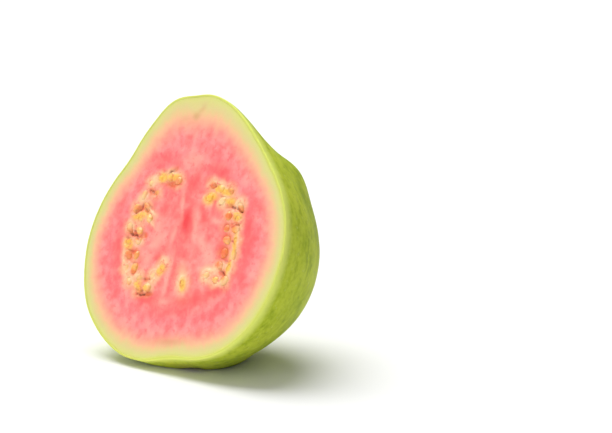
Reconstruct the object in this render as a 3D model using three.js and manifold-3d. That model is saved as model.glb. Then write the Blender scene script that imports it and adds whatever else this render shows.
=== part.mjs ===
// Half of a pink guava, cut lengthways just beside its axis, standing on its settled blossom end.
// Millimetres, +Z up. The cut face looks towards -Y and leans back; the origin is at the middle of the
// bounding box's underside, on the surface that the half stands on.
import * as THREE from "three";
import { mergeVertices } from "three/addons/utils/BufferGeometryUtils.js";
import Module from "manifold-3d";

// ---- the fruit, in its own frame: X across the cut face, +Y into the fruit, +Z along the axis to the stem ----
// Radius of the outline from the face's middle: the sum of term k times cos(k * angle), angle 0 at the stem end.
const OUTLINE = [39.3, 3.9, 0.4, 2.15, 0.75, 0.7];
const FULLER_RIGHT = 0.3; // the right side stands this much further out than the left
const DEPTH = 1.02; // how far the dome is drawn out behind the cut, against its own outline
// Slight swellings: degrees from the stem end and round from the cut's right side, spread in degrees, height.
const SWELLINGS = [
  { angle: 13, turn: 180, spread: 6, height: 1.1 }, // low shoulder to the left of the stem
  { angle: 42, turn: 180, spread: 7, height: -0.9 }, // drawn in under that shoulder
  { angle: 112, turn: 180, spread: 10, height: 0.9 }, // full low on the left
  { angle: 33, turn: 47, spread: 11.5, height: -3.4 }, // dip on the right of the neck
  { angle: 47, turn: 45, spread: 10, height: 3.9 }, // knob below the dip
  { angle: 128, turn: 40, spread: 22, height: 0.7 }, // low on the right
  { angle: 132, turn: 58, spread: 14, height: -1.5 }, // flatter where the right turns under
  { angle: 141, turn: 106, spread: 15, height: 3.5 }, // the heel that the half has settled on
  { angle: 170, turn: -90, spread: 11, height: -2.1 }, // the foot of the cut, drawn up off the ground
];
const STEM_HOLLOW = { x: -2, y: 5.5, deep: 1.9, spread: 3.6 }; // hollow round the stem scar
const SKIN = 0.9; // thickness of the skin
const GAP = 0.3; // clearance between neighbouring solids

// ---- how the half stands ----
const LEAN_BACK = 21.9; // degrees from upright, away from the cut face
const LEAN_SIDE = 11.2; // degrees in the plane of the cut, towards -X
const GROUND = -34.8; // height of the ground against the face's middle

// ---- facets ----
const ROWS = 24; // from the stem end to the blossom end
const COLUMNS = 24; // round the dome, from one side of the cut to the other

// ---- seeds: hard stones in the pulp, each [x, z, degrees that its long axis is turned up from +X] ----
const SEED = { long: 3.7, wide: 2.7, thick: 2.4, behindCut: 0.6, tilt: 0.3, egg: 0.2 };
const SEEDS = {
  left: [
    [-4.6, 20.9, 25], [-8, 22, -15], [-11.7, 21.9, 10], [-15.3, 20.6, 45], [-13, 17.6, -30], [-17.6, 16.9, 65],
    [-16, 13.4, -55], [-20.3, 13.3, 45], [-18.4, 10, 0], [-14.4, 10.1, -60], [-21.9, 7.6, 85], [-18, 6.4, -35],
    [-21.8, 3.1, 15], [-17.8, 3.1, 0], [-21.4, -0.8, -60], [-17.9, -1.4, 60], [-21.6, -4.8, -80], [-18.2, -5.2, 50],
    [-19.5, -8.9, -50], [-15.7, -8, 20], [-15.8, -11.5, -10], [-11.9, -11.2, 5], [-10, -7.8, 55], [-6.9, -5, 65],
  ],
  right: [
    [8.6, 14.8, 15], [9.6, 18.8, 50], [13, 17.5, -25], [16.7, 16.6, -35], [14.2, 13.7, 25], [18, 13.1, -5],
    [21.5, 11.7, -60], [21, 8.2, 5], [17.1, 9.3, 80], [20.6, 4.9, -10], [16.9, 5.5, 60], [21.1, 1.5, 80],
    [17.4, 1.8, -20], [20.8, -2.5, 85], [17, -2, 40], [19.8, -6.4, 75], [16, -5.8, -50], [18.5, -10.2, 35],
    [14.8, -9.8, -10], [11.3, -8.2, 10],
  ],
  lower: [[2.2, -10.6, 75]],
};

// ---- scars at the two ends ----
const STEM_STUB = { radius: 1.7, taper: 0.85, length: 3.2, stands: 0.4 };
const CALYX = { x: 0.5, y: 8.4, radius: 3.2, notch: 0.22, lobes: 5, thick: 1.2, sunk: 0.5, lean: 12 };

const wasm = await Module();
wasm.setup();

const radians = THREE.MathUtils.degToRad;
const leaning = new THREE.Matrix4()
  .makeRotationX(radians(-LEAN_BACK))
  .multiply(new THREE.Matrix4().makeRotationY(radians(-LEAN_SIDE)));

// A repeatable scatter: the same numbers between -1 and 1 in the same order every time.
let scatterState = 7;
function scatter() {
  scatterState = (scatterState * 16807) % 2147483647;
  return (scatterState / 2147483647) * 2 - 1;
}

// Direction from the face's middle; angle runs from the stem end (0) to the blossom end (PI),
// turn from the right side of the cut (0) round the back to the left side (PI).
function direction(angle, turn) {
  return new THREE.Vector3(Math.sin(angle) * Math.cos(turn), Math.sin(angle) * Math.sin(turn), Math.cos(angle));
}

// A point of the skin, or of the surface that lies `inset` under it, in the fruit's own frame.
function fruitPoint(angle, turn, inset) {
  const towards = direction(angle, turn);
  let radius = OUTLINE.reduce((sum, term, k) => sum + term * Math.cos(k * angle), 0);
  radius += FULLER_RIGHT * Math.sin(angle) ** 2 * Math.cos(turn);
  for (const { angle: a, turn: t, spread, height } of SWELLINGS) {
    const away = towards.angleTo(direction(radians(a), radians(t))) / radians(spread);
    radius += height * Math.exp(-(away ** 2) / 2);
  }
  const point = towards.multiplyScalar(radius - inset);
  point.y *= DEPTH;
  const fromStem = Math.hypot(point.x - STEM_HOLLOW.x, point.y - STEM_HOLLOW.y) / STEM_HOLLOW.spread;
  if (point.z > 0) point.z -= STEM_HOLLOW.deep * Math.exp(-(fromStem ** 2) / 2);
  return point;
}

// Points of the leaning surface under a given inset, one row for each angle. An inset surface also
// stays that far above the ground.
function surfaceGrid(inset) {
  const points = [];
  for (let i = 0; i <= ROWS; i++)
    for (let j = 0; j <= COLUMNS; j++) {
      const point = fruitPoint((Math.PI * i) / ROWS, (Math.PI * j) / COLUMNS, inset).applyMatrix4(leaning);
      if (inset > 0) point.z = Math.max(point.z, GROUND + inset);
      points.push(point);
    }
  return points;
}

const gridIndex = (row, column) => row * (COLUMNS + 1) + column;

// Triangles of the dome, facing outwards.
function domeTriangles() {
  const triangles = [];
  for (let i = 0; i < ROWS; i++)
    for (let j = 0; j < COLUMNS; j++) {
      const [a, b, c, d] = [gridIndex(i, j), gridIndex(i + 1, j), gridIndex(i + 1, j + 1), gridIndex(i, j + 1)];
      if (i < ROWS - 1) triangles.push([a, b, c]);
      if (i > 0) triangles.push([a, c, d]);
    }
  return triangles;
}

function closedGeometry(points, triangles) {
  const geometry = new THREE.BufferGeometry().setFromPoints(points);
  geometry.setIndex(triangles.flat());
  return geometry;
}

// The flesh before it is hollowed out: the dome under the skin, closed by the flat cut face.
function fleshGeometry() {
  const triangles = domeTriangles();
  for (let i = 0; i < ROWS; i++) {
    const [right, left] = [gridIndex(i, 0), gridIndex(i, COLUMNS)];
    const [rightBelow, leftBelow] = [gridIndex(i + 1, 0), gridIndex(i + 1, COLUMNS)];
    if (i < ROWS - 1) triangles.push([right, leftBelow, rightBelow]);
    if (i > 0) triangles.push([right, left, leftBelow]);
  }
  return closedGeometry(surfaceGrid(SKIN + GAP), triangles);
}

// The skin: outer dome, inner dome and the thin edge that the knife left between them.
function skinGeometry() {
  const outer = surfaceGrid(0);
  const shift = outer.length;
  const triangles = domeTriangles();
  for (const [a, b, c] of domeTriangles()) triangles.push([a + shift, c + shift, b + shift]);
  for (let i = 0; i < ROWS; i++) {
    const [right, rightBelow, left, leftBelow] = [0, COLUMNS].flatMap((j) => [gridIndex(i, j), gridIndex(i + 1, j)]);
    triangles.push([right, right + shift, rightBelow], [rightBelow, right + shift, rightBelow + shift]);
    triangles.push([left, leftBelow, left + shift], [leftBelow, leftBelow + shift, left + shift]);
  }
  return closedGeometry([...outer, ...surfaceGrid(SKIN)], triangles);
}

// three.js geometry to a manifold-3d solid, and back.
function toSolid(geometry, matrix = new THREE.Matrix4()) {
  const bare = geometry.clone().applyMatrix4(matrix);
  bare.deleteAttribute("normal");
  bare.deleteAttribute("uv");
  const merged = mergeVertices(bare, 1e-4);
  const vertProperties = new Float32Array(merged.attributes.position.array);
  const triVerts = new Uint32Array(merged.index.array);
  return new wasm.Manifold(new wasm.Mesh({ numProp: 3, vertProperties, triVerts }));
}

function toGeometry(solid) {
  const { vertProperties, triVerts } = solid.getMesh();
  const geometry = new THREE.BufferGeometry();
  geometry.setAttribute("position", new THREE.BufferAttribute(vertProperties, 3));
  geometry.setIndex(new THREE.BufferAttribute(triVerts, 1));
  geometry.computeVertexNormals();
  return geometry;
}

// Matrix that puts a piece at a point of the fruit's own frame, turned by Euler angles.
function placed(position, rotation = new THREE.Euler()) {
  const quaternion = new THREE.Quaternion().setFromEuler(rotation);
  return new THREE.Matrix4().compose(position, quaternion, new THREE.Vector3(1, 1, 1));
}

// A seed's three half sizes: along it, through the cut and across it.
function seedHalfSizes() {
  const size = 1 + 0.08 * scatter();
  return [(SEED.long * size) / 2, SEED.thick / 2, (SEED.wide * size * (1 + 0.06 * scatter())) / 2];
}

// An egg-like stone, slimmer towards one end; grow widens it for the pocket that it lies in.
function seedGeometry([long, thick, wide], grow = 0) {
  const geometry = new THREE.SphereGeometry(1, 8, 5);
  const { position } = geometry.attributes;
  for (let k = 0; k < position.count; k++) {
    const slimming = 1 - SEED.egg * position.getX(k);
    position.setZ(k, position.getZ(k) * slimming);
  }
  return geometry.scale(long + grow, thick + grow, wide + grow);
}

// Stem stub: a short tapering stump.
function stemStubGeometry(grow = 0) {
  const { radius, taper, length } = STEM_STUB;
  return new THREE.CylinderGeometry(radius * taper + grow, radius + grow, length + 2 * grow, 14).rotateX(Math.PI / 2);
}

// Calyx: the dried remains of the flower's sepals, a scalloped disc.
function calyxGeometry() {
  const outline = [];
  const steps = CALYX.lobes * 8;
  for (let k = 0; k < steps; k++) {
    const turn = (2 * Math.PI * k) / steps;
    const radius = CALYX.radius * (1 - CALYX.notch * Math.abs(Math.cos((CALYX.lobes * turn) / 2)) ** 3);
    outline.push(new THREE.Vector2(radius * Math.cos(turn), radius * Math.sin(turn)));
  }
  const disc = new THREE.ExtrudeGeometry(new THREE.Shape(outline), { depth: CALYX.thick, bevelEnabled: false });
  return disc.translate(0, 0, -CALYX.thick / 2);
}

// The round recess that holds the calyx, open to the outside.
function calyxRecessGeometry() {
  const length = 2 * (CALYX.thick + GAP);
  const recess = new THREE.CylinderGeometry(CALYX.radius + GAP, CALYX.radius + GAP, length, 20);
  return recess.rotateX(Math.PI / 2).translate(0, 0, CALYX.thick / 2 + GAP - length / 2);
}

// ---- materials ----
const skinGreen = new THREE.MeshStandardMaterial({ color: 0x94b13c, roughness: 0.5, metalness: 0 });
const fleshPink = new THREE.MeshStandardMaterial({ color: 0xf98a86, roughness: 0.4, metalness: 0 });
const seedYellow = new THREE.MeshStandardMaterial({ color: 0xf3c46c, roughness: 0.35, metalness: 0 });
const driedBrown = new THREE.MeshStandardMaterial({ color: 0x6b4a2a, roughness: 0.85, metalness: 0 });

// ---- assembly ----
const guavaHalf = new THREE.Group();
const leaningGroup = new THREE.Group();
leaningGroup.applyMatrix4(leaning);
guavaHalf.add(leaningGroup);

// Adds a named piece and, where it is placed in the fruit's own frame, puts it there.
function addPiece(parent, name, geometry, material, matrix = new THREE.Matrix4()) {
  const mesh = new THREE.Mesh(geometry, material);
  mesh.name = name;
  mesh.applyMatrix4(matrix);
  parent.add(mesh);
}

const holes = []; // what is hollowed out of the flesh
for (const [side, places] of Object.entries(SEEDS))
  places.forEach(([x, z, turned], k) => {
    const position = new THREE.Vector3(x, SEED.behindCut + 0.25 * scatter(), z);
    const rotation = new THREE.Euler(SEED.tilt * scatter(), radians(-turned), SEED.tilt * scatter(), "YXZ");
    const place = placed(position, rotation);
    const half = seedHalfSizes();
    addPiece(leaningGroup, `seed_${side}_${String(k + 1).padStart(2, "0")}`, seedGeometry(half), seedYellow, place);
    holes.push(toSolid(seedGeometry(half, GAP), leaning.clone().multiply(place)));
  });

// The stem stub stands in the hollow at the stem end.
const hollowFloor = fruitPoint(Math.atan2(STEM_HOLLOW.y, OUTLINE.reduce((sum, term) => sum + term)), Math.PI / 2, 0).z;
const stubHeight = hollowFloor + STEM_STUB.stands - STEM_STUB.length / 2;
const stubPlace = placed(new THREE.Vector3(STEM_HOLLOW.x, STEM_HOLLOW.y, stubHeight));
addPiece(leaningGroup, "stem_stub", stemStubGeometry(), driedBrown, stubPlace);
const stubHole = toSolid(stemStubGeometry(GAP), leaning.clone().multiply(stubPlace));

// The calyx lies in its recess behind the lower end of the cut, clear of the ground.
const blossomEnd = OUTLINE.reduce((sum, term, k) => sum + term * (-1) ** k, 0);
const calyxFoot = fruitPoint(Math.PI - Math.atan2(CALYX.y, blossomEnd), Math.PI / 2, 0);
const calyxCentre = new THREE.Vector3(CALYX.x, CALYX.y, calyxFoot.z + CALYX.sunk + CALYX.thick / 2);
const calyxPlace = placed(calyxCentre, new THREE.Euler(radians(CALYX.lean), 0, 0));
addPiece(leaningGroup, "calyx", calyxGeometry(), driedBrown, calyxPlace);
const calyxRecess = toSolid(calyxRecessGeometry(), leaning.clone().multiply(calyxPlace));

// Everything under the ground, which presses the skin flat.
const under = 20;
const ground = toSolid(new THREE.BoxGeometry(150, 150, under).translate(0, 0, GROUND - under / 2));

const skin = toSolid(skinGeometry()).subtract(ground).subtract(stubHole).subtract(calyxRecess);
let flesh = toSolid(fleshGeometry()).subtract(stubHole).subtract(calyxRecess);
for (const hole of holes) flesh = flesh.subtract(hole);
addPiece(guavaHalf, "skin", toGeometry(skin), skinGreen);
addPiece(guavaHalf, "flesh", toGeometry(flesh), fleshPink);

// The origin goes to the middle of the underside.
guavaHalf.updateMatrixWorld(true);
const box = new THREE.Box3().setFromObject(guavaHalf, true);
guavaHalf.position.set(-(box.min.x + box.max.x) / 2, -(box.min.y + box.max.y) / 2, -box.min.z);

export default guavaHalf;
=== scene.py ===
import math

import bpy
import numpy as np
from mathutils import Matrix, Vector


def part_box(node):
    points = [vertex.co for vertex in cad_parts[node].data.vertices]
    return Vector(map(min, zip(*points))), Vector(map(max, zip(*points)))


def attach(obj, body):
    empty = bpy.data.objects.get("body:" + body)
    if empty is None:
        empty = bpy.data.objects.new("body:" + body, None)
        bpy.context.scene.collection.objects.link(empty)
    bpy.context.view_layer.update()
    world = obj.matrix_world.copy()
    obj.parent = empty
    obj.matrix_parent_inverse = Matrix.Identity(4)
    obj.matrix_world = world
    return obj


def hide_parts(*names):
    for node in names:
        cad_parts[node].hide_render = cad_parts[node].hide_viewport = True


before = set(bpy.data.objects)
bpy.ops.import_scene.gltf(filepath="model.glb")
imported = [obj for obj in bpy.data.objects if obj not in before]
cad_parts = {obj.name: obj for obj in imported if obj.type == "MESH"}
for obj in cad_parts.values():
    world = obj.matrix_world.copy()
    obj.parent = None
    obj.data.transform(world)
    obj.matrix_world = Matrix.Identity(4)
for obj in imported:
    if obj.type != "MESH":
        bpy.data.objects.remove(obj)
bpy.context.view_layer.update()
print("frame loaded with", len(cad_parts), "CAD nodes")

mm = 0.001

# The fruit in its own frame, in millimetres and degrees: x runs across the cut face, y into the fruit
# and z along the axis to the stem end. The sizes are those of the CAD skin, apart from the blossom
# hollow, which is narrower here, lies further back and stays closed towards the cut.
fruit = {
    "outline": (39.3, 3.9, 0.4, 2.15, 0.75, 0.7),  # term k times cos(k * angle from the stem end)
    "fullerRight": 0.3,
    "depth": 1.02,
    "swellings": (  # angle from the stem end, turn from the right side round the back, spread, height
        (13, 180, 6, 1.1),
        (42, 180, 7, -0.9),
        (112, 180, 10, 0.9),
        (33, 47, 11.5, -3.4),
        (47, 45, 10, 3.9),
        (128, 40, 22, 0.7),
        (132, 58, 14, -1.5),
        (141, 106, 15, 3.5),
        (170, -90, 11, -2.1),
    ),
    "stemHollow": (-2.0, 5.5, 1.9, 3.6),  # this and the next are x, y, depth, spread
    "blossomHollow": (0.5, 9.8, 1.6, 2.8),
    "blossomFade": (8.0, 9.6),  # behind the cut, from where the blossom hollow starts to where it is whole
    "ribs": 0.22,
    "bumps": 0.1,
    "skin": 0.9,
    "leanBack": 21.9,
    "leanSide": 11.2,
    "settled": 0.5,  # how softly the skin bends into the flat that it stands on
}


def smoothStep(low, high, value):
    # a cubic ease from 0 at low to 1 at high
    t = np.clip((value - low) / (high - low), 0, 1)
    return t * t * (3 - 2 * t)


def valueNoise(points, cell, seed):
    # random numbers at the corners of a lattice, eased between the corners; from -1 to 1
    table = np.random.default_rng(seed).uniform(-1, 1, 4096)
    scaled = points / cell + 512.37
    corner = np.floor(scaled).astype(np.int64)
    t = scaled - corner
    t = t * t * (3 - 2 * t)
    total = np.zeros(points.shape[:-1])
    for dx in (0, 1):
        for dy in (0, 1):
            for dz in (0, 1):
                index = (corner[..., 0] + dx) * 15731 + (corner[..., 1] + dy) * 789221
                index = (index + (corner[..., 2] + dz) * 1376312589) & 4095
                share = (t[..., 0] if dx else 1 - t[..., 0]) * (t[..., 1] if dy else 1 - t[..., 1])
                total += table[index] * share * (t[..., 2] if dz else 1 - t[..., 2])
    return total


def layeredNoise(points, cell, layers, seed):
    # each layer is half as coarse and half as strong as the one before
    total = np.zeros(points.shape[:-1])
    for k in range(layers):
        total += valueNoise(points, cell / 2**k, seed + k) / 2**k
    return total / (2 - 2 ** (1 - layers))


def direction(around, inward):
    # around turns on the cut face from the stem end towards +x, inward tilts away from the cut into the
    # fruit
    x = np.sin(around) * np.cos(inward)
    return np.stack([x, np.sin(inward) + 0 * x, np.cos(around) * np.cos(inward)], -1)


def fruitSurface(around, inward, inset=0.0):
    # outline radius by angle from the stem end, plus swellings that fade with a bell curve, plus faint
    # ribs and bumps; inset lies that far under the skin. The stem hollow is a bell in x and y, and the
    # blossom hollow one with a flatter top and steeper sides.
    towards = direction(around, inward)
    angle = np.arccos(np.clip(towards[..., 2], -1, 1))
    radius = sum(term * np.cos(k * angle) for k, term in enumerate(fruit["outline"]))
    radius = radius + fruit["fullerRight"] * np.sin(angle) * towards[..., 0]
    for a, turn, spread, height in fruit["swellings"]:
        a, turn = math.radians(a), math.radians(turn)
        middle = np.array([math.sin(a) * math.cos(turn), math.sin(a) * math.sin(turn), math.cos(a)])
        away = np.degrees(np.arccos(np.clip(towards @ middle, -1, 1))) / spread
        radius = radius + height * np.exp(-(away**2) / 2)
    ribs = valueNoise(towards * np.array([40, 40, 12]), 9.0, 11)
    bumps = layeredNoise(towards * 40, 5.0, 2, 21)
    radius = radius + fruit["ribs"] * ribs * np.sin(angle) + fruit["bumps"] * bumps
    points = towards * (radius - inset)[..., None]
    points[..., 1] *= fruit["depth"]
    x, y, deep, spread = fruit["stemHollow"]
    away = np.hypot(points[..., 0] - x, points[..., 1] - y) / spread
    points[..., 2] -= np.where(points[..., 2] > 0, deep * np.exp(-(away**2) / 2), 0)
    x, y, deep, spread = fruit["blossomHollow"]
    away = np.hypot(points[..., 0] - x, points[..., 1] - y) / spread
    deep = deep * smoothStep(*fruit["blossomFade"], points[..., 1])
    points[..., 2] += np.where(points[..., 2] < 0, deep * np.exp(-(away**4)), 0)
    return points


def turnMatrix(axis, degrees):
    c, s = math.cos(math.radians(degrees)), math.sin(math.radians(degrees))
    if axis == "x":
        return np.array([[1, 0, 0], [0, c, -s], [0, s, c]])
    return np.array([[c, 0, s], [0, 1, 0], [-s, 0, c]])


leaning = turnMatrix("x", -fruit["leanBack"]) @ turnMatrix("y", -fruit["leanSide"])


def findFaceMiddle():
    # the leaning skin's box is laid on the CAD skin's box: x and y by their middles, and the ground
    # under it
    turns, tilts = np.linspace(0, 2 * np.pi, 181), np.linspace(0, np.pi / 2, 61)
    around, inward = np.meshgrid(turns, tilts, indexing="ij")
    leant = fruitSurface(around, inward).reshape(-1, 3) @ leaning.T
    low, high = (np.array(corner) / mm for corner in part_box("skin"))
    middle = (low + high) / 2 - (leant.min(0) + leant.max(0)) / 2
    middle[2] = high[2] - leant[:, 2].max()
    return middle


faceMiddle = findFaceMiddle()


def toRow(points):
    # leans the fruit and gives metres as the CAD has them; what would lie under the ground is pressed
    # softly up to it, by the half of z plus the root of z squared plus a softness squared
    leant = points @ leaning.T + faceMiddle
    soft = fruit["settled"]
    leant[..., 2] = (leant[..., 2] + np.sqrt(leant[..., 2] ** 2 + soft**2)) / 2
    return leant * mm


def toFruit(points):
    # the way back from the CAD's metres to the fruit's own millimetres, without the pressing
    return (points / mm - faceMiddle) @ leaning


def buildMesh(name, points, faces, attributes=None):
    # faces is a list of index arrays, each with one face to a row
    mesh = bpy.data.meshes.new(name)
    mesh.vertices.add(len(points))
    mesh.vertices.foreach_set("co", points.astype(np.float32).ravel())
    corners = np.concatenate([f.ravel() for f in faces])
    sizes = np.concatenate([np.full(len(f), f.shape[1]) for f in faces])
    mesh.loops.add(len(corners))
    mesh.loops.foreach_set("vertex_index", corners.astype(np.int32))
    mesh.polygons.add(len(sizes))
    starts = np.concatenate([[0], np.cumsum(sizes)[:-1]])
    mesh.polygons.foreach_set("loop_start", starts.astype(np.int32))
    mesh.polygons.foreach_set("use_smooth", np.ones(len(sizes), bool))
    mesh.update(calc_edges=True)
    mesh.validate()
    for label, values in (attributes or {}).items():
        width = 1 if values.ndim == 1 else values.shape[1]
        kind = {1: "FLOAT", 3: "FLOAT_VECTOR", 4: "FLOAT_COLOR"}[width]
        field = {1: "value", 3: "vector", 4: "color"}[width]
        layer = mesh.attributes.new(label, kind, "POINT")
        layer.data.foreach_set(field, values.astype(np.float32).ravel())
    piece = bpy.data.objects.new(name, mesh)
    bpy.context.scene.collection.objects.link(piece)
    return piece


def ringFaces(rings, columns):
    # quads between closed rings of vertices, and fans to a single vertex before the first and after the
    # last; vertex 0 is the first pole, then come the rings, then the last pole
    i, j = np.meshgrid(np.arange(rings - 1), np.arange(columns), indexing="ij")
    a = 1 + i * columns + j
    b = 1 + i * columns + (j + 1) % columns
    quads = np.stack([a, a + columns, b + columns, b], -1).reshape(-1, 4)
    j = np.arange(columns)
    first = np.stack([0 * j, 1 + j, 1 + (j + 1) % columns], -1)
    start = 1 + (rings - 1) * columns
    last = np.stack([0 * j + start + columns, start + (j + 1) % columns, start + j], -1)
    return [quads, first, last]


def srgb(red, green, blue):
    # a screen colour from 0 to 255 to the linear colour that shaders use
    c = np.array([red, green, blue]) / 255
    return (*np.where(c <= 0.04045, c / 12.92, ((c + 0.055) / 1.055) ** 2.4).tolist(), 1.0)


# All places are on the cut face, x and z in millimetres. A patch is x, z, half width, half height and
# turn in degrees; a line is a list of points.
pulp = {
    "warpCell": 2.4,
    "warp": 0.6,
    "cream": (
        (-8, 23, 2.8, 1.3, -5), (-17.9, 16.3, 2, 1.6, 60), (-21.6, 8.2, 1.4, 1.4, 0),
        (-17.2, 2.8, 1.5, 1.1, 0), (-19.1, -8.1, 1.8, 1.1, -50), (-16.4, -7.5, 1.8, 0.9, 10),
        (-9.2, -8, 3.2, 2, 48), (-6, -3.4, 1.6, 1.8, 60), (20.7, 12.7, 1.6, 2, -40),
        (14.8, 13.6, 2, 2, 0), (19.6, 10.1, 1.5, 0.8, 0), (13, -7.2, 3, 1.8, 10),
        (11, -9.5, 2.2, 1.2, -15), (17, -10.9, 2.6, 0.9, 15), (21.5, 3, 0.7, 5.5, 0),
        (20.3, -5, 0.8, 6, -8), (1.7, -9.6, 2.3, 4.2, 8), (-22.4, -2.6, 0.8, 4.4, 10),
        (-14, 21.4, 1.8, 1.4, 30), (-21.2, -6.2, 0.8, 3, 25), (16.5, -6.2, 1.6, 1.4, 0),
        (-13.5, 11.7, 2.4, 0.5, -35), (12.5, 18.6, 3.4, 0.7, -25), (-13.4, 8.6, 0.6, 2, 40),
    ),
    "yellow": (
        (-10.6, 21.9, 2, 1.6, 0), (-6.6, 22.1, 2.6, 1.1, 0), (-18.4, 10.9, 3.2, 1.2, 5),
        (-21.6, 2.5, 2, 1.8, 0), (-15.7, -10.1, 2, 1.2, -10), (-12.3, -11.2, 1.6, 1.1, 5),
        (-7.1, -6, 1.4, 2.1, -25), (9.4, 14.9, 3, 1.7, 10), (12.1, 17.3, 1.6, 1.2, 0),
        (15.2, 16.2, 2.4, 1.2, -20), (17.4, 13.3, 2, 1.3, 0), (20.5, 8.6, 1.9, 1.5, 0),
        (19.6, -6, 1, 2.8, -8), (2.3, -10.8, 1.5, 2.1, 10), (20.9, 1, 0.8, 4, 0),
    ),
    "orange": (
        (-5.4, 20.5, 2.4, 1.2, -10), (-14.4, 17.9, 2, 1.2, -30), (-17.6, 13.4, 2.8, 1.1, 0),
        (-20, -0.8, 2.7, 1.9, 20), (-18.3, -6.4, 1.3, 1, 0), (-12.4, -13, 2.8, 0.9, -5),
        (10.3, 18.5, 1.8, 1, 0), (17, 12, 2, 0.8, 0), (20, 6.2, 2.2, 0.9, 0), (17.2, 2.5, 2, 1.5, 0),
        (16.6, 5.8, 1.2, 1.4, 0), (15.8, -5.4, 1.4, 1.2, 0), (17.2, 9, 1.2, 1, 0),
        (16.7, -2, 2, 2.2, 0), (17.4, -8, 1.2, 2, 30), (-20.2, 6, 1.6, 1.1, 0), (-16, 4.6, 1.6, 1, 0),
        (-12.6, -8.8, 1.8, 0.8, 0), (-7, 19.8, 2.4, 1, 0),
    ),
    "red": (
        (0.7, 8.3, 2.4, 3.8, 0, 1.5), (-12, 27.5, 5, 2, 20, 0.6), (11.5, 23.5, 5, 2.6, -25, 0.7),
        (15.5, -13.6, 4.6, 1.7, 12, 0.7), (4, -15.4, 6, 1.5, 0, 0.7), (-12, -14.4, 4.5, 1.4, -8, 0.7),
        (-8, 13, 1.4, 3, 0, 0.5), (-6.4, 0.3, 2.2, 1.5, 60, 0.6), (7.6, 8.6, 1.6, 2.8, 10, 0.6),
        (-2.2, -5, 1.3, 6, 0, 0.6), (15.9, 6, 1.4, 2.2, 0, 0.7), (1.4, 3, 1.4, 3, 0, 0.7),
        (25.5, 3, 2.2, 10, 0, 0.7), (-26, 2, 2.2, 10, 0, 0.6), (8.5, 20.5, 2, 2, 0, 0.6),
        (-9.4, -2.5, 1.6, 1.2, 0, 0.6), (24.5, -9, 2, 4, 15, 0.6), (1, 19.5, 2.2, 5, -30, 0.5),
        (15.4, -1.5, 1.6, 3, 0, 0.7), (0, -19, 10, 1.6, 0, 0.4),
    ),
    "pale": (
        (-1.8, 14, 0.7, 4.5, 3), (4.6, 6.2, 1.3, 6, 4), (8.5, 0.5, 1.6, 6, 42), (-10.5, 8, 2.4, 3.4, 20),
        (12.5, 8, 2.6, 1, -8), (-10.6, 3, 4, 3, 30), (-4.4, -8.5, 1, 7.5, -12), (9, -6.4, 2.6, 1, 0),
        (1, 27, 5, 3, 0), (-4, 4.5, 1, 3.5, -14), (-13.5, -2.8, 2, 2.5, 0), (11, -2.6, 2.6, 2.6, 30),
        (-5, -15.6, 3, 1.6, 0),
    ),
    "cracks": (  # how dark, then the route
        (1.0, (-8.2, 23.6), (-7, 23.8), (-5.9, 24.4)), (0.8, (-15.3, 18.5), (-14.2, 18), (-13.2, 17.1)),
        (0.9, (-20.4, 12.2), (-18.6, 13.1), (-17.5, 14.2), (-16.6, 13), (-15.6, 12.2)),
        (0.7, (-20.1, 6.6), (-19.3, 6.2)),
        (1.0, (-21.9, 6.4), (-20.6, 5.3), (-19.2, 5.2), (-17.3, 3.9)),
        (0.6, (-15.7, -11.7), (-14, -11.9)), (0.9, (-15.8, -12.8), (-14.4, -13.2), (-13.4, -13)),
        (0.5, (-13.7, -8.5), (-11.5, -8.8)), (1.0, (18, 11.8), (19.5, 11.3), (21, 11), (22.1, 9.9)),
        (0.9, (16.2, -6.7), (17.4, -7.8), (18.3, -9.3)), (0.5, (9.9, 18.6), (10.9, 18.1)),
        (0.5, (16.6, 16.6), (17, 16.1)), (0.5, (19.9, 1.5), (20.7, 0.9)), (0.7, (19, 5.8), (21.4, 6)),
        (0.3, (-14.9, 13.6), (-12.4, 11.6)), (0.4, (-22.8, 4.4), (-21.2, 4)),
        (0.3, (-21.5, 0.5), (-19.8, 0.2)), (0.3, (-18.8, -3.6), (-17.2, -4)),
        (0.3, (-10.9, 23.6), (-9.4, 23.9)), (0.3, (17.8, -4.2), (19, -4.6)),
        (0.3, (-12.6, -12.6), (-10.4, -12.4)), (0.3, (12.8, 15.2), (14.6, 14.9)),
    ),
    "traces": (
        (-0.4, 40.1, 1.5, 1.2, 0), (1.4, 42, 0.9, 2.2, -42, 0.55), (-4.5, 39.6, 3, 1, 10, 0.35),
        (-0.5, -27.6, 6.5, 1.3, 0, 0.8),
    ),
    "bare": (  # where the pulp round the seeds stays pink
        (15.6, 2, 2.2, 6.5, 0, 0.9), (-15.4, 6.5, 1.6, 2, 0, 0.6), (-16, -1, 1.6, 3.6, 0, 0.8),
        (11.6, 15, 1.2, 1, 0, 0.5), (-13.5, -9.9, 2, 0.9, 0, 0.6), (14.6, -9, 1.2, 1.4, 0, 0.5),
        (-18.6, 18.6, 2, 1, 45, 0.7), (-12.8, 19, 2, 1, 30, 0.6),
    ),
    "crackWidth": 0.36,
    "seedZone": 2.7,  # how far round each seed the soft pulp reaches
}


def patches(x, z, places):
    # the strongest of several bells with elliptical feet; a sixth number, where given, is the bell's
    # height
    best = np.zeros_like(x)
    for cx, cz, wide, high, turn, *weight in places:
        c, s = math.cos(math.radians(turn)), math.sin(math.radians(turn))
        u, v = (x - cx) * c + (z - cz) * s, (z - cz) * c - (x - cx) * s
        bell = np.exp(-((u / wide) ** 2) - (v / high) ** 2)
        best = np.maximum(best, bell * (weight[0] if weight else 1))
    return best


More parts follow.
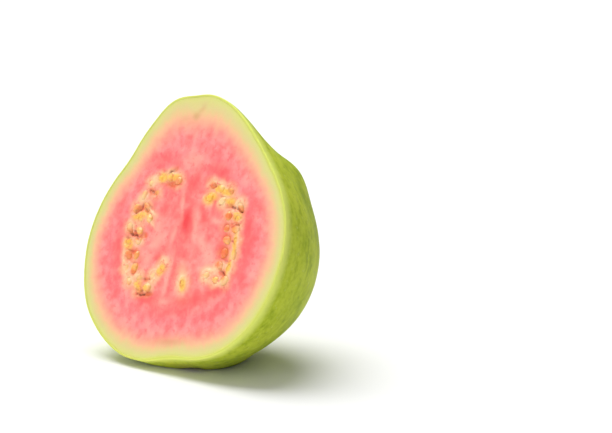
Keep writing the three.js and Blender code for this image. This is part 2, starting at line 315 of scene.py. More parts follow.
def lines(x, z, routes, width):
    # a bell across the nearest stretch of any route
    best = np.zeros_like(x)
    for dark, *route in routes:
        for (x0, z0), (x1, z1) in zip(route, route[1:]):
            dx, dz = x1 - x0, z1 - z0
            t = np.clip(((x - x0) * dx + (z - z0) * dz) / (dx * dx + dz * dz), 0, 1)
            away = np.hypot(x - x0 - t * dx, z - z0 - t * dz) / width
            best = np.maximum(best, dark * np.exp(-(away**2)))
    return best


def readSeeds():
    # each CAD seed's middle, three axes and half sizes, found from the spread of its vertices
    seeds = []
    for name in sorted(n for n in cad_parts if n.startswith("seed_")):
        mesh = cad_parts[name].data
        points = np.empty(len(mesh.vertices) * 3, np.float32)
        mesh.vertices.foreach_get("co", points)
        points = toFruit(np.unique(points.reshape(-1, 3).astype(float), axis=0))
        middle = (points.min(0) + points.max(0)) / 2
        spread, axes = np.linalg.eigh(np.cov((points - middle).T))
        axes = axes[:, np.argsort(-spread)].T
        along = (points - middle) @ axes.T
        half = (along.max(0) - along.min(0)) / 2
        seeds.append({"node": name, "middle": middle, "axes": axes, "half": half})
    return seeds


seedPiece = {
    "columns": 28,
    "rings": 17,
    "egg": 0.2,
    "bend": 0.18,
    "facet": 0.11,
    "fine": 0.018,
    "proud": (-0.38, 0.1),  # they stand out this much further than their CAD solids, from seed to seed
    "pocketFit": 0.8,  # the pockets' width against the seeds' own
}
seeds = readSeeds()


def settleSeeds():
    # some seeds lie deeper than others; each one's outline at the level of the cut follows from its
    # ellipse
    low, high = seedPiece["proud"]
    for number, seed in enumerate(seeds):
        seed["middle"][1] -= low + (high - low) * (number * 0.7548777 % 1)
        level = seed["middle"][1] / (seed["half"][2] * 1.02)
        seed["cut"] = math.sqrt(max(0.05, 1 - level * level)) * seedPiece["pocketFit"]


def seedDistance(x, z):
    # distance to the nearest seed, where 1 is its outline, and the depth of the pockets under the seeds
    # as a share; seeds are taken as ellipses on the cut
    nearest, pocket = np.full_like(x, 9.0), np.zeros_like(x)
    for seed in seeds:
        long = seed["axes"][0][[0, 2]]
        long = long / np.linalg.norm(long)
        dx, dz = x - seed["middle"][0], z - seed["middle"][2]
        u, v = dx * long[0] + dz * long[1], dz * long[0] - dx * long[1]
        away = np.hypot(u / seed["half"][0], v / seed["half"][1])
        nearest = np.minimum(nearest, away)
        pocket = np.maximum(pocket, np.sqrt(np.clip(1 - (away / seed["cut"]) ** 2, 0, 1)))
    return nearest, pocket


settleSeeds()


def warped(x, z):
    # places moved about by noise, so that no patch is an even oval
    flat = np.stack([x, 0 * x, z], -1)
    wx = x + pulp["warp"] * layeredNoise(flat, pulp["warpCell"], 2, 31)
    wz = z + pulp["warp"] * layeredNoise(flat, pulp["warpCell"], 2, 41)
    return wx, wz


def tints(x, z):
    # the masks of everything coloured in the pulp
    wx, wz = warped(x, z)
    labels = ("cream", "yellow", "orange", "red", "pale", "traces")
    found = {label: patches(wx, wz, pulp[label]) for label in labels}
    for label in ("yellow", "orange"):
        found[label] = smoothStep(0.1, 0.8, found[label])
    flat = np.stack([x, 0 * x, z], -1)
    wx = (wx + x) / 2 + 0.32 * layeredNoise(flat, 0.9, 2, 35)
    wz = (wz + z) / 2 + 0.32 * layeredNoise(flat, 0.9, 2, 45)
    broken = smoothStep(-0.45, 0.1, layeredNoise(flat, 0.8, 2, 47))
    found["crack"] = broken * lines(wx, wz, pulp["cracks"], pulp["crackWidth"])
    halo = lines(wx, wz, pulp["cracks"], pulp["crackWidth"] * 2.6)
    found["orange"] = np.maximum(found["orange"], 0.75 * halo)
    return found


def colourLayers(found, zone):
    # the masks in the groups of three that the materials read as one colour, and the seeds' zone
    ones = np.ones_like(zone)
    return {
        "tint": np.stack([found["cream"], found["yellow"], found["orange"], ones], -1),
        "mark": np.stack([found["crack"], found["red"], found["pale"], ones], -1),
        "zone": zone,
    }


fleshPiece = {
    "columns": 560,
    "faceRings": ((0.0, 0.2, 14), (0.2, 0.68, 84), (0.68, 0.985, 26)),  # from and to as shares, number
    "backRings": 18,
    "inset": 0.9,  # under the outer skin
    "pocket": 1.9,
    "lump": 0.36,
    "ridge": 0.2,  # round each seed's pocket
    "crackDepth": 0.5,
    "relief": {"cream": 0.3, "yellow": 0.2, "orange": -0.35},
    "sunkenRed": 0.15,
    "unevenness": ((0.1, 6.0, 3, 61), (0.035, 0.9, 2, 71)),  # height, cell, layers and seed of each noise
    "ripening": (  # angle on the cut from the stem end, and how fast the pale layer turns pink there
        (0, 0.66), (14, 0.72), (32, 0.95), (60, 1.03), (90, 0.97), (130, 0.94), (180, 1.1),
        (215, 0.95), (245, 1.0), (275, 1.2), (305, 1.08), (335, 0.9), (348, 0.72), (360, 0.66),
    ),
}


def makeFlesh():
    # The cut face is the rim's outline drawn together towards the middle, share by share, and it rises
    # and sinks along y; behind it the dome closes on a pole at the back. A place lies as far under the
    # outer skin as its way out to the rim, times the sine of the angle at which that way meets the rim,
    # plus the skin's thickness.
    columns = fleshPiece["columns"]
    around = np.arange(columns) * 2 * np.pi / columns
    rim = fruitSurface(around, 0 * around, fleshPiece["inset"])
    shares = np.concatenate([np.linspace(a, b, n, endpoint=False) for a, b, n in fleshPiece["faceRings"]])
    shares = np.concatenate([shares[1:], [0.985, 0.993, 0.998, 1.0]])
    face = rim[None] * shares[:, None, None]
    length = np.linalg.norm(rim, axis=-1)
    along = np.roll(rim, -1, 0) - np.roll(rim, 1, 0)
    square = np.abs(np.cross(rim, along)[:, 1]) / (length * np.linalg.norm(along, axis=-1))
    under = (1 - shares[:, None]) * (length * square)[None] + fleshPiece["inset"]
    x, z = face[..., 0], face[..., 2]

    found = tints(x, z)
    distance, pocket = seedDistance(x, z)
    wx, wz = warped(x, z)
    reach = np.zeros_like(x)
    for seed in seeds:
        away = np.hypot(wx - seed["middle"][0], wz - seed["middle"][2]) / pulp["seedZone"]
        reach = np.maximum(reach, np.exp(-(away**4)))
    flat = np.stack([x, 0 * x, z], -1)
    lumps = layeredNoise(flat, 1.9, 2, 51)
    ridge = fleshPiece["ridge"] * np.exp(-(((distance - 1.25) / 0.16) ** 2))
    reach = reach * (1 - np.clip(patches(wx, wz, pulp["bare"]), 0, 1))
    height = reach * (fleshPiece["lump"] * lumps + ridge)
    for label, rise in fleshPiece["relief"].items():
        height += rise * found[label]
    height -= fleshPiece["sunkenRed"] * found["red"] * reach
    height -= fleshPiece["crackDepth"] * found["crack"]
    for rise, *grid in fleshPiece["unevenness"]:
        height += rise * layeredNoise(flat, *grid)
    height = height * smoothStep(0.9, 3.5, under)
    height -= fleshPiece["pocket"] * pocket
    face[..., 1] -= height

    inward = np.linspace(0, np.pi / 2, fleshPiece["backRings"] + 1)[1:-1]
    inward = inward[:, None]
    back = fruitSurface(around[None] + 0 * inward, inward + 0 * around[None], fleshPiece["inset"])
    frontPole = np.array([[0.0, 0.0, 0.0]])
    backPole = fruitSurface(np.zeros(1), np.full(1, np.pi / 2), fleshPiece["inset"])
    points = np.concatenate([frontPole, face.reshape(-1, 3), back.reshape(-1, 3), backPole])

    hidden = back.shape[0] * columns + 1
    layers = colourLayers(found, reach)
    for label, values in layers.items():
        width = values.shape[2:]
        flatValues = values.reshape(-1, *width)
        layers[label] = np.concatenate([flatValues[:1], flatValues, np.zeros((hidden, *width))])
    angles, speeds = np.array(fleshPiece["ripening"]).T
    speed = np.interp(np.degrees(around), angles, speeds)
    speed = 1 + (speed[None] - 1) * smoothStep(0, 4, under)
    ripe = under * speed
    layers["trace"] = np.concatenate([[0.0], found["traces"].ravel(), np.zeros(hidden)])
    depthUnder = np.concatenate([[ripe[0].mean()], ripe.ravel(), np.full(hidden, fleshPiece["inset"])])
    turn = np.broadcast_to(around, x.shape)
    grain = np.stack([18 * np.cos(turn), 18 * np.sin(turn), 0.22 * np.hypot(x, z)], -1).reshape(-1, 3)
    layers["grain"] = np.concatenate([grain[:1], grain, np.zeros((hidden, 3))])
    layers["under"] = depthUnder

    faces = ringFaces(len(shares) + len(inward), columns)
    piece = buildMesh("guavaFlesh", toRow(points), faces, layers)
    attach(piece, "root")
    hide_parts("flesh")
    return piece


skinPiece = {
    "columns": 400,
    "outerRings": 130,
    "innerRings": 14,
    "corner": ((0.0, 0.3), (0.05, 0.14), (0.16, 0.04), (0.32, 0.0), (0.9, 0.0)),  # inset and y of the edge
    "stemStain": 4.5,
    "blossomStain": 5.0,
}


def makeSkin():
    # A bowl with walls: the outer dome from its back pole to the cut, the narrow edge that the knife
    # left, and the inner dome back to its own pole. The outer rings stand closer together near the cut.
    columns = skinPiece["columns"]
    around = (np.arange(columns) * 2 * np.pi / columns)[None]
    outer = np.linspace(np.pi / 2, 0, skinPiece["outerRings"] + 1)[1:-1, None]
    outer = outer * (1 - 0.35 * np.exp(-outer / 0.12))
    inner = np.linspace(0, np.pi / 2, skinPiece["innerRings"] + 1)[1:-1, None]
    rings = [fruitSurface(around + 0 * outer, outer + 0 * around)]
    for inset, y in skinPiece["corner"]:
        ring = fruitSurface(around, 0 * around, inset)
        ring[..., 1] += y
        rings.append(ring)
    rings.append(fruitSurface(around + 0 * inner, inner + 0 * around, fruit["skin"]))
    grid = np.concatenate(rings)
    poles = [fruitSurface(np.zeros(1), np.full(1, np.pi / 2), inset) for inset in (0.0, fruit["skin"])]
    points = np.concatenate([poles[0], grid.reshape(-1, 3), poles[1]])

    fromCut = points[:, 1].copy()
    x, y = fruit["stemHollow"][:2]
    away = np.hypot(points[:, 0] - x, points[:, 1] - y) / skinPiece["stemStain"]
    stem = np.where(points[:, 2] > 0, np.exp(-(away**2)), 0)
    x, y = fruit["blossomHollow"][:2]
    away = np.hypot(points[:, 0] - x, points[:, 1] - y) / skinPiece["blossomStain"]
    blossom = np.where(points[:, 2] < 0, np.exp(-(away**2)), 0)
    wall = np.zeros(len(points))
    start = 1 + len(outer) * columns
    for k, (inset, _) in enumerate(skinPiece["corner"]):
        wall[start + k * columns:start + (k + 1) * columns] = inset / fruit["skin"]
    wall[start + len(skinPiece["corner"]) * columns:] = 1
    faces = ringFaces(len(grid), columns)
    layers = {"fromCut": fromCut, "stem": stem, "blossom": blossom, "wall": wall}
    layers["along"] = np.stack([points[:, 0], points[:, 1], points[:, 2] * 0.35], -1)
    piece = buildMesh("guavaSkin", toRow(points), faces, layers)
    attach(piece, "root")
    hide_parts("skin")
    return piece


def makeSeed(seed, number):
    # An ellipsoid on the CAD seed's own axes, slimmer towards one end, bent a little like a bean, with
    # dented sides and a fine unevenness.
    columns, rings = seedPiece["columns"], seedPiece["rings"]
    turn = (np.arange(columns) * 2 * np.pi / columns)[None]
    tilt = np.linspace(-np.pi / 2, np.pi / 2, rings + 2)[1:-1, None]
    along = np.sin(tilt) + 0 * turn
    side, up = np.cos(tilt) * np.cos(turn), np.cos(tilt) * np.sin(turn)
    shape = np.concatenate([[[-1, 0, 0]], np.stack([along, side, up], -1).reshape(-1, 3), [[1.0, 0, 0]]])
    rough = layeredNoise(shape + number * 3.7, 0.9, 2, 81)
    fine = valueNoise(shape + number * 1.3, 0.22, 91)
    shape = shape * (1 + seedPiece["facet"] * rough + seedPiece["fine"] * fine)[:, None]
    shape[:, 1:] *= (1 - seedPiece["egg"] * shape[:, :1])
    shape[:, 1] += seedPiece["bend"] * (shape[:, 0] ** 2 - 0.3) * (1 if number % 2 else -1)
    points = seed["middle"] + (shape * seed["half"]) @ seed["axes"]

    x, z = points[:, 0], points[:, 2]
    found = tints(x, z)
    found["crack"] = found["crack"] * 0.7
    layers = colourLayers(found, np.full(len(points), (number * 0.381966) % 1))
    layers["proud"] = -points[:, 1]
    title = "seed" + "".join(word.capitalize() for word in seed["node"].split("_")[1:])
    piece = buildMesh(title, toRow(points), ringFaces(rings, columns), layers)
    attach(piece, "root")
    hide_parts(seed["node"])
    return piece


stub = {
    "columns": 40,
    "radius": 1.75,
    "height": 2.4,
    "rise": 0.7,  # above the middle of the CAD stub
    "fibre": 0.07,
    "splinter": 0.22,
}
calyx = {
    "columns": 90,
    "rings": 12,
    "radius": 2.3,  # less than the CAD calyx's, to fit the narrower hollow
    "lobes": 5,
    "thick": 0.5,
    "deep": 1.1,
    "shift": (0.0, 1.4, 0.35),  # from the middle of the CAD calyx
    "wrinkle": 0.16,
}


def nodeMiddle(name):
    # the middle of a CAD node's box, in the fruit's own millimetres
    low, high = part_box(name)
    return toFruit(np.array((low + high) / 2)[None])[0]


def makeStub():
    # A short broken stalk: rings from a wide collar up the side to a sunken, splintered top. The side has
    # upright fibres, made by noise that changes fast round the stalk and slowly along it.
    columns = stub["columns"]
    radii = (1.42, 1.32, 1.12, 1.02, 1.0, 1.0, 0.99, 0.96, 0.88, 0.74, 0.5, 0.25)
    levels = (-0.55, -0.42, -0.32, -0.2, 0.1, 0.4, 0.72, 0.92, 1.0, 0.93, 0.8, 0.74)
    turn = (np.arange(columns) * 2 * np.pi / columns)[None]
    radius = stub["radius"] * np.array(radii)[:, None]
    level = np.array(levels)[:, None] * stub["height"] / 2
    around = [np.cos(turn) * 3 + 0 * level, np.sin(turn) * 3 + 0 * level, level * 0.4 + 0 * turn]
    around = np.stack(around, -1)
    fibre = layeredNoise(around, 0.8, 2, 101)
    radius = radius * (1 + stub["fibre"] * fibre)
    level = level + stub["splinter"] * fibre * smoothStep(0.5, 1.0, np.array(levels))[:, None]
    grid = np.stack([radius * np.cos(turn), radius * np.sin(turn), level], -1).reshape(-1, 3)
    ends = np.array([[0, 0, grid[:columns, 2].mean()], [0, 0, grid[-columns:, 2].mean()]])
    points = np.concatenate([ends[:1], grid, ends[1:]])
    points = points + nodeMiddle("stem_stub") + np.array([0, 0, stub["rise"]])
    faces = [f[:, ::-1] for f in ringFaces(len(radii), columns)]
    dry = np.concatenate([[0], np.repeat(np.array(levels), columns), [0.7]])
    piece = buildMesh("stemStub", toRow(points), faces, {"dry": dry})
    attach(piece, "root")
    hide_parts("stem_stub")
    return piece


def makeCalyx():
    # A shallow cup that faces down, with five dried lobes round its rim: the radius is notched between
    # the lobes, the lobes curl outwards, and noise wrinkles them. The upper side lies a thickness over
    # the lower.
    columns, rings = calyx["columns"], calyx["rings"]
    turn = (np.arange(columns) * 2 * np.pi / columns)[None]
    share = np.linspace(0.08, 1, rings)[:, None]
    lobe = np.abs(np.cos(calyx["lobes"] * turn / 2)) ** 0.7
    radius = calyx["radius"] * share * (1 - 0.3 * (1 - lobe) * smoothStep(0.45, 1, share))
    flat = np.stack([radius * np.cos(turn), radius * np.sin(turn), 0 * radius], -1)
    wrinkle = layeredNoise(flat, 0.9, 2, 111)
    cup = calyx["deep"] * (share**2 - 0.9 * share**5) + calyx["wrinkle"] * wrinkle * share
    thick = calyx["thick"] * (1 - 0.8 * share**4)
    lower = flat.copy()
    lower[..., 2] = -cup
    upper = flat[::-1].copy()
    upper[..., 2] = -cup[::-1] + thick[::-1]
    points = np.concatenate([
        [[0, 0, 0]], lower.reshape(-1, 3), upper.reshape(-1, 3), [[0, 0, calyx["thick"]]],
    ]) + nodeMiddle("calyx") + np.array(calyx["shift"])
    faces = [f[:, ::-1] for f in ringFaces(2 * rings, columns)]
    shares = np.concatenate([share.ravel(), share.ravel()[::-1]])
    dry = np.concatenate([[0], np.repeat(shares, columns), [0]])
    piece = buildMesh("calyx_remains", toRow(points), faces, {"dry": dry})
    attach(piece, "root")
    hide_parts("calyx")
    return piece


def addNode(tree, kind, place, settings=None, values=None):
    node = tree.nodes.new(kind)
    node.location = place
    for name, value in (settings or {}).items():
        setattr(node, name, value)
    for name, value in (values or {}).items():
        node.inputs[name].default_value = value
    return node


def newMaterial(name, values):
    # an empty tree with the shader and its output; values go straight on the shader
    material = bpy.data.materials.new(name)
    material.use_nodes = True
    tree = material.node_tree
    tree.nodes.clear()
    shader = addNode(tree, "ShaderNodeBsdfPrincipled", (900, 0), None, values)
    output = addNode(tree, "ShaderNodeOutputMaterial", (1200, 0))
    tree.links.new(shader.outputs["BSDF"], output.inputs["Surface"])
    return material, tree, shader


def attribute(tree, name, place):
    return addNode(tree, "ShaderNodeAttribute", place, {"attribute_name": name})


def separated(tree, name, place):
    made = addNode(tree, "ShaderNodeSeparateColor", (place[0] + 180, place[1]))
    tree.links.new(attribute(tree, name, place).outputs["Color"], made.inputs["Color"])
    return made


def plug(tree, socket, value):
    if isinstance(value, bpy.types.NodeSocket):
        tree.links.new(value, socket)
    else:
        socket.default_value = value


def mixed(tree, place, factor, first, second, blend="MIX"):
    node = addNode(tree, "ShaderNodeMix", place, {"data_type": "RGBA", "blend_type": blend})
    plug(tree, node.inputs[0], factor)
    plug(tree, node.inputs[6], first)
    plug(tree, node.inputs[7], second)
    return node.outputs[2]


def maths(tree, place, operation, first, second=0.0):
    node = addNode(tree, "ShaderNodeMath", place, {"operation": operation})
    plug(tree, node.inputs[0], first)
    plug(tree, node.inputs[1], second)
    return node.outputs[0]


def ranged(tree, place, value, fromLow, fromHigh, toLow, toHigh):
    node = addNode(tree, "ShaderNodeMapRange", place)
    plug(tree, node.inputs["Value"], value)
    numbers = (("From Min", fromLow), ("From Max", fromHigh), ("To Min", toLow), ("To Max", toHigh))
    for name, number in numbers:
        node.inputs[name].default_value = number
    return node.outputs["Result"]


def ramp(tree, place, value, stops):
    # stops are pairs of a position and a colour
    node = addNode(tree, "ShaderNodeValToRGB", place)
    plug(tree, node.inputs["Fac"], value)
    points = node.color_ramp.elements
    while len(points) < len(stops):
        points.new(1.0)
    for point, (position, colour) in zip(points, stops):
        point.position = position
        point.color = colour
    return node.outputs["Color"]


def noise(tree, place, vector, scale, detail=3.0, roughness=0.5):
    values = {"Scale": scale, "Detail": detail, "Roughness": roughness}
    node = addNode(tree, "ShaderNodeTexNoise", place, None, values)
    tree.links.new(vector, node.inputs["Vector"])
    return node.outputs["Fac"]


def bump(tree, place, height, strength, distance, normal=None):
    node = addNode(tree, "ShaderNodeBump", place, None, {"Strength": strength, "Distance": distance})
    tree.links.new(height, node.inputs["Height"])
    if normal:
        tree.links.new(normal, node.inputs["Normal"])
    return node.outputs["Normal"]


def objectPlace(tree, place):
    return addNode(tree, "ShaderNodeTexCoord", place).outputs["Object"]


# Colours of the flesh from the skin inwards, by millimetres under the skin.
fleshColours = {
    "reach": 18.0,
    "layers": (
        (0.9, (214, 214, 120)), (1.5, (216, 212, 131)), (2.5, (220, 205, 139)), (3.6, (231, 197, 140)),
        (4.6, (241, 185, 145)), (5.8, (247, 170, 142)), (7.2, (249, 156, 141)), (9.0, (249, 147, 143)),
        (12.0, (249, 133, 135)), (17.5, (249, 131, 126)),
    ),
    "pulp": (253, 190, 138),
    "cream": (254, 212, 162),
    "yellow": (252, 190, 76),
    "orange": (232, 102, 50),
    "red": (238, 64, 68),
    "pale": (254, 178, 160),
    "trace": (196, 138, 84),
    "crack": (136, 50, 10),
}


def makeFleshMaterial():
    values = {
        "Roughness": 0.42,
        "Subsurface Weight": 0.35,
        "Subsurface Radius": (1.0, 0.45, 0.35),
        "Subsurface Scale": 0.9 * mm,
        "Specular IOR Level": 0.42,
    }
    material, tree, shader = newMaterial("guavaFleshPink", values)
    place = objectPlace(tree, (-1700, 0))
    grain = attribute(tree, "grain", (-1700, 300)).outputs["Vector"]
    under = attribute(tree, "under", (-1700, 600)).outputs["Fac"]
    streaks = noise(tree, (-1450, 420), grain, 1.1, 4.0, 0.6)
    blotches = noise(tree, (-1450, 200), place, 130.0, 3.0, 0.55)
    shift = maths(tree, (-1250, 420), "ADD", ranged(tree, (-1250, 560), streaks, 0.3, 0.7, -0.5, 0.5),
                  ranged(tree, (-1250, 280), blotches, 0.3, 0.7, -0.6, 0.6))
    fading = ranged(tree, (-1250, 700), under, 0.9, 4.0, 0.15, 1.0)
    shifted = maths(tree, (-1050, 520), "MULTIPLY_ADD", shift, fading)
    tree.links.new(under, shifted.node.inputs[2])
    reach = fleshColours["reach"]
    colour = ramp(tree, (-850, 520), maths(tree, (-950, 700), "DIVIDE", shifted, reach),
                  [(depth / reach, srgb(*c)) for depth, c in fleshColours["layers"]])

    mottle = noise(tree, (-1450, -40), place, 330.0, 4.0, 0.5)
    deep = ranged(tree, (-1200, -40), mottle, 0.47, 0.7, 0.0, 0.7)
    inside = ranged(tree, (-1200, -200), under, 5.0, 9.0, 0.0, 1.0)
    deeper = maths(tree, (-1000, -80), "MULTIPLY", deep, inside)
    colour = mixed(tree, (-500, 420), deeper, colour, srgb(244, 96, 98))
    light = ranged(tree, (-1200, -360), mottle, 0.5, 0.28, 0.0, 0.6)
    paler = maths(tree, (-1000, -320), "MULTIPLY", light, inside)
    colour = mixed(tree, (-320, 420), paler, colour, srgb(254, 170, 158))

    tint = separated(tree, "tint", (-900, -100))
    mark = separated(tree, "mark", (-900, -350))
    trace = attribute(tree, "trace", (-900, -550)).outputs["Fac"]
    soft = attribute(tree, "zone", (-900, -700)).outputs["Fac"]
    x = -300
    for label, socket, strength in (
        ("trace", trace, 0.5), ("red", mark.outputs[1], 0.75), ("pale", mark.outputs[2], 0.65),
        ("pulp", soft, 0.7), ("orange", tint.outputs[2], 0.8),
        ("cream", tint.outputs[0], 0.8), ("yellow", tint.outputs[1], 0.9), ("crack", mark.outputs[0], 1.0),
    ):
        factor = maths(tree, (x, -200), "MULTIPLY", socket, strength)
        colour = mixed(tree, (x, 420), factor, colour, srgb(*fleshColours[label]))
        x += 160
    crumbs = noise(tree, (-900, -900), place, 620.0, 4.0, 0.62)
    juicy = ranged(tree, (-700, -900), crumbs, 0.54, 0.7, 0.0, 0.45)
    juicy = maths(tree, (500, -200), "MULTIPLY", juicy, soft)
    colour = mixed(tree, (820, 420), juicy, colour, srgb(234, 112, 78))
    bright = ranged(tree, (-700, -1100), crumbs, 0.46, 0.32, 0.0, 0.4)
    bright = maths(tree, (500, -350), "MULTIPLY", bright, soft)
    colour = mixed(tree, (980, 420), bright, colour, srgb(255, 224, 192))
    flecks = ranged(tree, (-700, -1300), crumbs, 0.55, 0.68, 0.0, 0.5)
    flecks = maths(tree, (500, -50), "MULTIPLY", flecks, inside)
    colour = mixed(tree, (1140, 420), flecks, colour, srgb(238, 92, 100))
    tree.links.new(colour, shader.inputs["Base Color"])

    fibres = noise(tree, (-600, -600), grain, 3.5, 3.0, 0.6)
    grains = noise(tree, (-600, -800), place, 1500.0, 3.0, 0.6)
    normal = bump(tree, (500, -600), fibres, 0.35, 0.25 * mm)
    normal = bump(tree, (700, -600), grains, 0.3, 0.12 * mm, normal)
    tree.links.new(normal, shader.inputs["Normal"])
    wet = ranged(tree, (300, -400), grains, 0.3, 0.7, 0.34, 0.52)
    tree.links.new(wet, shader.inputs["Roughness"])
    return material


def makeSkinMaterial():
    values = {
        "Roughness": 0.45,
        "Subsurface Weight": 0.12,
        "Subsurface Radius": (0.6, 1.0, 0.3),
        "Subsurface Scale": 1.2 * mm,
        "Specular IOR Level": 0.07,
        "Specular Tint": (0.62, 0.72, 0.22, 1),
    }
    material, tree, shader = newMaterial("guavaSkinGreen", values)
    place = objectPlace(tree, (-1700, 0))
    along = attribute(tree, "along", (-1700, 300)).outputs["Vector"]
    broad = noise(tree, (-1400, 300), along, 0.09, 3.0, 0.55)
    colour = ramp(tree, (-1100, 300), broad, (
        (0.34, srgb(158, 177, 38)), (0.5, srgb(181, 197, 53)), (0.66, srgb(199, 211, 69)),
    ))
    patchy = noise(tree, (-1400, 150), along, 0.33, 4.0, 0.62)
    colour = mixed(tree, (-950, 300), ranged(tree, (-1100, 150), patchy, 0.5, 0.68, 0.0, 0.6), colour,
                   srgb(198, 210, 70))
    colour = mixed(tree, (-850, 300), ranged(tree, (-1100, 50), patchy, 0.49, 0.32, 0.0, 0.7), colour,
                   srgb(138, 162, 30))
    freckle = noise(tree, (-1400, 0), place, 650.0, 3.0, 0.6)
    colour = mixed(tree, (-800, 300), ranged(tree, (-1100, 0), freckle, 0.5, 0.75, 0.0, 0.55), colour,
                   srgb(204, 216, 80))
    colour = mixed(tree, (-600, 300), ranged(tree, (-1100, -200), freckle, 0.48, 0.25, 0.0, 0.4), colour,
                   srgb(132, 150, 28))
    dots = addNode(tree, "ShaderNodeTexVoronoi", (-1400, -300), None, {"Scale": 420.0})
    tree.links.new(place, dots.inputs["Vector"])
    pore = ranged(tree, (-1100, -400), dots.outputs["Distance"], 0.0, 0.22, 1.0, 0.0)
    paleDots = maths(tree, (-900, -400), "MULTIPLY", pore, 0.3)
    colour = mixed(tree, (-400, 300), paleDots, colour, srgb(214, 226, 140))
    # Painted highlight: the skin is painted lighter and yellower for a few millimetres back from the cut,
    # standing in for the band of light along the rounded edge.
    fromCut = attribute(tree, "fromCut", (-1700, 700)).outputs["Fac"]
    edge = ranged(tree, (-1100, 700), fromCut, 0.5, 3.4, 1.0, 0.0)
    colour = mixed(tree, (-200, 300), edge, colour, srgb(228, 236, 120))
    wall = attribute(tree, "wall", (-1700, 900)).outputs["Fac"]
    rind = ramp(tree, (-200, 900), wall, (
        (0.0, srgb(204, 212, 94)), (0.35, srgb(204, 211, 100)), (1.0, srgb(214, 214, 118)),
    ))
    colour = mixed(tree, (0, 300), ranged(tree, (-400, 1000), wall, 0.0, 0.3, 0.0, 1.0), colour, rind)
    stem = attribute(tree, "stem", (-1700, 1100)).outputs["Fac"]
    stained = maths(tree, (0, 700), "MULTIPLY", stem, 0.5)
    colour = mixed(tree, (200, 300), stained, colour, srgb(120, 124, 52))
    blossom = attribute(tree, "blossom", (-1700, 1300)).outputs["Fac"]
    stained = maths(tree, (0, 900), "MULTIPLY", blossom, 0.7)
    colour = mixed(tree, (400, 300), stained, colour, srgb(126, 112, 58))
    tree.links.new(colour, shader.inputs["Base Color"])
    dimples = noise(tree, (-600, -600), place, 900.0, 2.0, 0.5)
    normal = bump(tree, (300, -600), noise(tree, (-600, -900), place, 260.0, 2.0, 0.5), 0.4, 0.5 * mm)
    normal = bump(tree, (500, -600), dimples, 0.35, 0.2 * mm, normal)
    normal = bump(tree, (700, -600), pore, 0.2, -0.1 * mm, normal)
    tree.links.new(normal, shader.inputs["Normal"])
    tree.links.new(ranged(tree, (300, -300), freckle, 0.3, 0.7, 0.42, 0.6), shader.inputs["Roughness"])
    return material


def makeSeedMaterial():
    values = {
        "Roughness": 0.3,
        "Subsurface Weight": 0.6,
        "Subsurface Radius": (1.0, 0.55, 0.25),
        "Subsurface Scale": 1.2 * mm,
        "Specular IOR Level": 0.5,
    }
    material, tree, shader = newMaterial("guavaSeedYellow", values)
    place = objectPlace(tree, (-1500, 0))
    tone = attribute(tree, "zone", (-1500, 300)).outputs["Fac"]
    colour = ramp(tree, (-1200, 300), tone, (
        (0.0, srgb(253, 204, 132)), (0.5, srgb(252, 188, 100)), (1.0, srgb(248, 164, 92)),
    ))
    speck = noise(tree, (-1200, 0), place, 900.0, 3.0, 0.6)
    colour = mixed(tree, (-900, 300), ranged(tree, (-1000, 0), speck, 0.45, 0.7, 0.0, 0.5), colour,
                   srgb(246, 150, 92))
    # Where a seed lies low in its pocket it is painted a darker orange: partly the colour of the pulp
    # round it, partly painted shade of the pocket.
    low = attribute(tree, "proud", (-1500, 600)).outputs["Fac"]
    sunkPulpAndShade = ranged(tree, (-1000, 600), low, 0.35, -0.4, 0.0, 0.85)
    tint = separated(tree, "tint", (-1200, -300))
    mark = separated(tree, "mark", (-1200, -600))
    x = -700
    for label, socket, strength in (
        ("cream", tint.outputs[0], 0.8), ("yellow", tint.outputs[1], 0.9),
        ("orange", tint.outputs[2], 0.65), ("red", mark.outputs[1], 0.5),
        ("crack", mark.outputs[0], 1.0),
    ):
        factor = maths(tree, (x, -200), "MULTIPLY", socket, strength)
        colour = mixed(tree, (x, 300), factor, colour, srgb(*fleshColours[label]))
        x += 200
    colour = mixed(tree, (300, 300), sunkPulpAndShade, colour, srgb(248, 158, 106))
    tree.links.new(colour, shader.inputs["Base Color"])
    normal = bump(tree, (500, -500), speck, 0.4, 0.12 * mm)
    tree.links.new(normal, shader.inputs["Normal"])
    tree.links.new(ranged(tree, (300, -300), speck, 0.3, 0.7, 0.22, 0.4), shader.inputs["Roughness"])
    return material


def makeDriedMaterial():
    material, tree, shader = newMaterial("driedPlantBrown", {"Roughness": 0.85, "Specular IOR Level": 0.3})
    place = objectPlace(tree, (-1200, 0))
    fibre = noise(tree, (-900, 200), place, 900.0, 4.0, 0.65)
    colour = ramp(tree, (-600, 200), fibre, (
        (0.3, srgb(52, 36, 20)), (0.5, srgb(98, 70, 40)), (0.72, srgb(152, 118, 74)),
    ))
    dry = attribute(tree, "dry", (-900, 500)).outputs["Fac"]
    colour = mixed(tree, (-300, 200), ranged(tree, (-600, 500), dry, 0.6, 1.0, 0.0, 0.5), colour,
                   srgb(172, 142, 96))
    tree.links.new(colour, shader.inputs["Base Color"])
    tree.links.new(bump(tree, (500, -300), fibre, 0.8, 0.2 * mm), shader.inputs["Normal"])
    return material


print("making the flesh")
flesh = makeFlesh()
flesh.data.materials.append(makeFleshMaterial())
print("making the skin")
skin = makeSkin()
skin.data.materials.append(makeSkinMaterial())
print("making", len(seeds), "seeds")
seedMaterial = makeSeedMaterial()
for number, seed in enumerate(seeds):
    makeSeed(seed, number).data.materials.append(seedMaterial)
print("making the dried ends")
driedMaterial = makeDriedMaterial()
for piece in (makeStub(), makeCalyx()):
    piece.data.materials.append(driedMaterial)

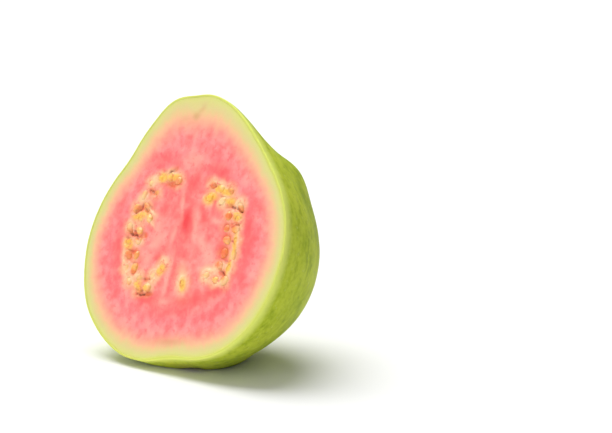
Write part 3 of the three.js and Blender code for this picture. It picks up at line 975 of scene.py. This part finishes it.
studio = {
    "floor": 4.0,
    "floorBrightness": 0.84,
    "azimuth": 43.5,
    "elevation": 12.0,
    "lens": 181.06,
    "distance": 0.9,
    "aimRight": 0.0364,  # the camera looks this far to the right of the cut face's middle
    "aimUp": 0.0095,
    "worldStrength": (0.17, 0.47),  # from the right and behind, and from the left and the front
    "worldTowards": (-0.75, 0.6),  # where the stronger light comes from, as shares of right and of back
    "overhead": (3.2, 54.0),  # strength, and degrees across
    "front": (0.98, 50.0),
    "overheadTowards": (-0.18, -0.3, 0.9),  # shares of the camera's right, of its back and of straight up
    "frontTowards": (-0.65, 0.7, 0.08),
}
azimuth, elevation = math.radians(studio["azimuth"]), math.radians(studio["elevation"])
cameraRight = Vector((math.cos(azimuth), math.sin(azimuth), 0))
level = math.cos(elevation)
cameraBack = Vector((math.sin(azimuth) * level, -math.cos(azimuth) * level, math.sin(elevation)))
cameraUp = cameraBack.cross(cameraRight)
aim = Vector(faceMiddle * mm) + cameraRight * studio["aimRight"] + cameraUp * studio["aimUp"]


def makeFloor():
    half = studio["floor"] / 2
    points = np.array([[-half, -half, 0], [half, -half, 0], [half, half, 0], [-half, half, 0]])
    floor = buildMesh("paleFloor", points, [np.array([[0, 1, 2, 3]])])
    white = studio["floorBrightness"]
    inputs = {"Roughness": 0.8, "Base Color": (white, white, white, 1)}
    material, tree, shader = newMaterial("paleFloorWhite", inputs)
    floor.data.materials.append(material)


def makeSun(name, shares, strength, degrees):
    # a wide sun makes the even, soft light of a large lamp
    right, back, up = shares
    towards = cameraRight * right + cameraBack * back + Vector((0, 0, up))
    data = bpy.data.lights.new(name, "SUN")
    data.energy = strength
    data.angle = math.radians(degrees)
    light = bpy.data.objects.new(name, data)
    light.rotation_mode = "QUATERNION"
    light.rotation_quaternion = towards.to_track_quat("Z", "Y")
    light.location = aim + towards
    bpy.context.scene.collection.objects.link(light)


def makeStudio():
    makeFloor()
    world = bpy.data.worlds.new("paleStudio")
    world.use_nodes = True
    tree = world.node_tree
    background = tree.nodes["Background"]
    background.inputs["Color"].default_value = (1, 1, 1, 1)
    place = addNode(tree, "ShaderNodeTexCoord", (-800, 0)).outputs["Generated"]
    share = addNode(tree, "ShaderNodeVectorMath", (-600, 0), {"operation": "DOT_PRODUCT"})
    right, back = studio["worldTowards"]
    share.inputs[1].default_value = cameraRight * right + cameraBack * back
    tree.links.new(place, share.inputs[0])
    weak, strong = studio["worldStrength"]
    strength = ranged(tree, (-400, 0), share.outputs["Value"], -1, 1, weak, strong)
    tree.links.new(strength, background.inputs["Strength"])
    bpy.context.scene.world = world
    makeSun("overheadLight", studio["overheadTowards"], *studio["overhead"])
    makeSun("frontLight", studio["frontTowards"], *studio["front"])
    camera = bpy.data.objects.new("camera", bpy.data.cameras.new("camera"))
    camera.data.lens = studio["lens"]
    camera.location = aim + cameraBack * studio["distance"]
    camera.rotation_mode = "QUATERNION"
    camera.rotation_quaternion = cameraBack.to_track_quat("Z", "Y")
    camera.data.clip_start, camera.data.clip_end = 0.01, 20
    bpy.context.scene.collection.objects.link(camera)
    bpy.context.scene.camera = camera
    bpy.context.scene.view_settings.view_transform = "Standard"


makeStudio()
print("studio ready")
